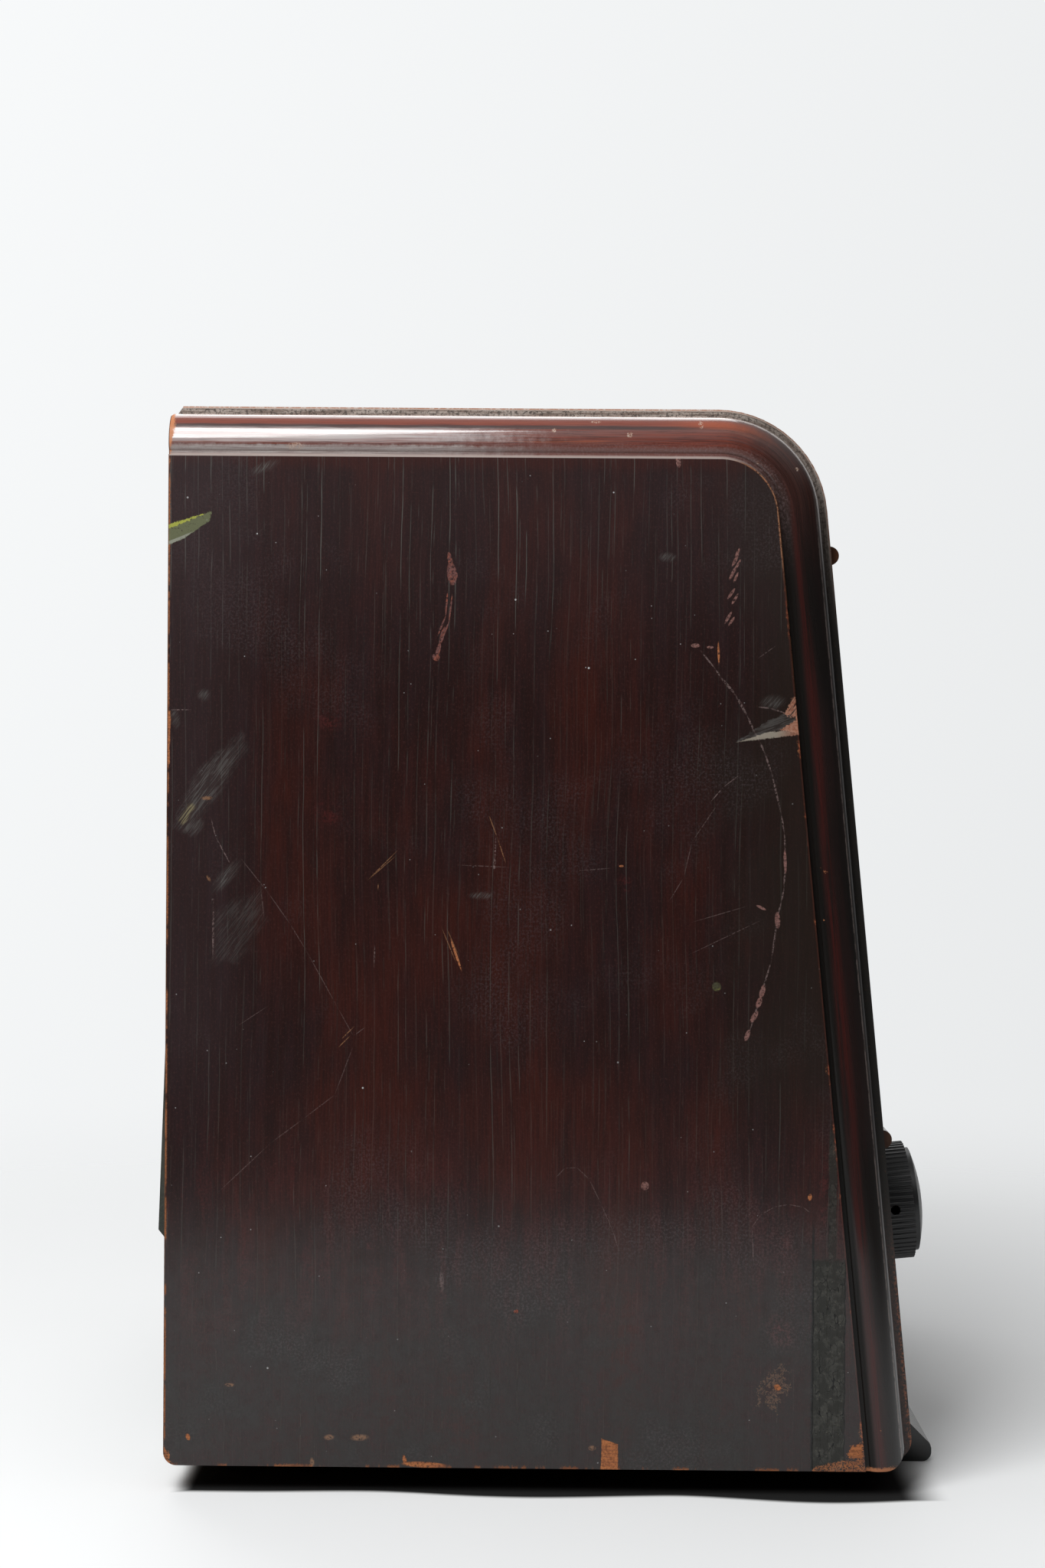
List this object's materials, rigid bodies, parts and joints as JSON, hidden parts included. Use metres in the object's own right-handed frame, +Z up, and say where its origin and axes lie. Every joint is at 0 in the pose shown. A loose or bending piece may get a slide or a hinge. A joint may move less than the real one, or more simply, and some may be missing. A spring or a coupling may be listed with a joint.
{
  "type": "table radio",
  "caption": "Upright wooden table radio with a bent plywood front and top, rolled edges, a leaning front with dial and three knobs, toe feet and a vented back.",
  "frame": {"origin": "centre of the whole set's footprint box, on the surface that its feet stand on", "axes": "+Z up, the front with its knobs faces -Y, +X to the right seen from the front"},
  "size_m": [0.36, 0.3076, 0.41],
  "materials": {
    "lacquered_veneer": "glossy aged lacquer over vertical-grained red-brown veneer",
    "lacquered_moulding": "glossy aged lacquer, worn at the crest",
    "bare_wood": "bare softwood and plywood",
    "black_lacquer": "black lacquered hardwood",
    "amber_lacquer": "amber lacquered half round",
    "grille_fabric": "woven gold-brown cloth",
    "black_phenolic": "satin moulded phenolic",
    "pressed_steel": "grey painted steel",
    "cone_paper": "black paper",
    "black_enamel": "black enamel",
    "plated_steel": "dull plated steel",
    "yellow_brass": "aged brass",
    "clear_glass": "clear",
    "scale_card": "cream printed card",
    "pointer_enamel": "red enamel",
    "waxed_cord": "waxed cord",
    "varnished_paper": "varnished paper wrap",
    "brown_laminate": "paper laminate",
    "grey_nickel": "dark nickel",
    "soft_aluminium": "dull aluminium",
    "black_felt": "felt",
    "black_rubber": "soft rubber",
    "fibreboard": "dark greenish-black pressed fibreboard"
  },
  "bodies": {
    "root": {"side_board_left": "lacquered_veneer", "side_board_right": "lacquered_veneer", "front_and_top_panel": "lacquered_veneer", "edge_moulding_left": "lacquered_moulding", "edge_moulding_right": "lacquered_moulding", "bottom_board": "bare_wood", "glue_blocks": "bare_wood", "rear_battens": "bare_wood", "baffle_board": "bare_wood", "chassis_runners": "bare_wood", "front_feet": "black_lacquer", "rear_feet": "black_lacquer", "upper_bead": "amber_lacquer", "lower_bead": "amber_lacquer", "grille_cloth": "grille_fabric", "valve_bases": "black_phenolic", "speaker_basket": "pressed_steel", "dial_plate": "pressed_steel", "chassis": "pressed_steel", "mains_transformer_core": "pressed_steel", "output_transformer": "pressed_steel", "speaker_cone": "cone_paper", "speaker_magnet": "black_enamel", "speaker_bolts": "plated_steel", "scale_posts": "plated_steel", "pointer_rail": "plated_steel", "idler_pins": "plated_steel", "chassis_bolts": "plated_steel", "gang_frame": "plated_steel", "back_cover_screws": "plated_steel", "dial_bezel": "yellow_brass", "tuning_bush": "yellow_brass", "aerial_earth_sockets": "yellow_brass", "dial_glass": "clear_glass", "valve_glass": "clear_glass", "dial_lamps": "clear_glass", "dial_scale": "scale_card", "drive_cord": "waxed_cord", "mains_transformer_coil": "varnished_paper", "valve_sockets": "brown_laminate", "aerial_earth_strip": "brown_laminate", "volume_control": "brown_laminate", "wave_switch": "brown_laminate", "valve_electrodes": "grey_nickel", "coil_cans": "soft_aluminium", "smoothing_cans": "soft_aluminium", "felt_rings": "black_felt", "mains_grommet": "black_rubber", "back_cover": "fibreboard"},
    "gang": {"gang_rotor": "soft_aluminium", "drive_drum": "soft_aluminium"},
    "tuning": {"tuning_spindle": "yellow_brass", "tuning_knob": "black_phenolic"},
    "volume": {"volume_shaft": "yellow_brass", "volume_knob": "black_phenolic"},
    "wave": {"wave_shaft": "yellow_brass", "wave_knob": "black_phenolic"},
    "pointer": {"dial_pointer": "pointer_enamel"},
    "left_idler": {"idler_left": "yellow_brass"},
    "right_idler": {"idler_right": "yellow_brass"}
  },
  "joints": [
    {"name": "gang_turn", "type": "hinge", "parent": "root", "child": "gang", "pos_m": [0, -0.10973, 0.09727], "axis": [0, -0.9951, 0.0993], "range_deg": [-90, 90]},
    {"name": "tuning_turn", "type": "hinge", "parent": "root", "child": "tuning", "pos_m": [0.105, -0.13266, 0.09906], "axis": [0, -0.9951, 0.0993], "range_deg": [-481, 481]},
    {"name": "pointer_slide", "type": "slide", "parent": "root", "child": "pointer", "axis": [1, 0, 0], "range_m": [-0.042, 0.042]},
    {"name": "left_idler_turn", "type": "hinge", "parent": "root", "child": "left_idler", "pos_m": [-0.074, -0.10699, 0.12463], "axis": [0, -0.9951, 0.0993], "range_deg": [-512, 512]},
    {"name": "right_idler_turn", "type": "hinge", "parent": "root", "child": "right_idler", "pos_m": [0.074, -0.10699, 0.12463], "axis": [0, -0.9951, 0.0993], "range_deg": [-512, 512]},
    {"name": "volume_turn", "type": "hinge", "parent": "root", "child": "volume", "pos_m": [-0.105, -0.13266, 0.09906], "axis": [0, -0.9951, 0.0993], "range_deg": [-150, 150]},
    {"name": "wave_turn", "type": "hinge", "parent": "root", "child": "wave", "pos_m": [0, -0.13797, 0.04582], "axis": [0, -0.9951, 0.0993], "range_deg": [-30, 30]}
  ],
  "couplings": [
    {"joint": "tuning_turn", "follows": "gang_turn", "ratio": 5.34},
    {"joint": "pointer_slide", "follows": "gang_turn", "m_per_rad": -0.0267},
    {"joint": "left_idler_turn", "follows": "gang_turn", "ratio": 5.6809},
    {"joint": "right_idler_turn", "follows": "gang_turn", "ratio": 5.6809}
  ]
}
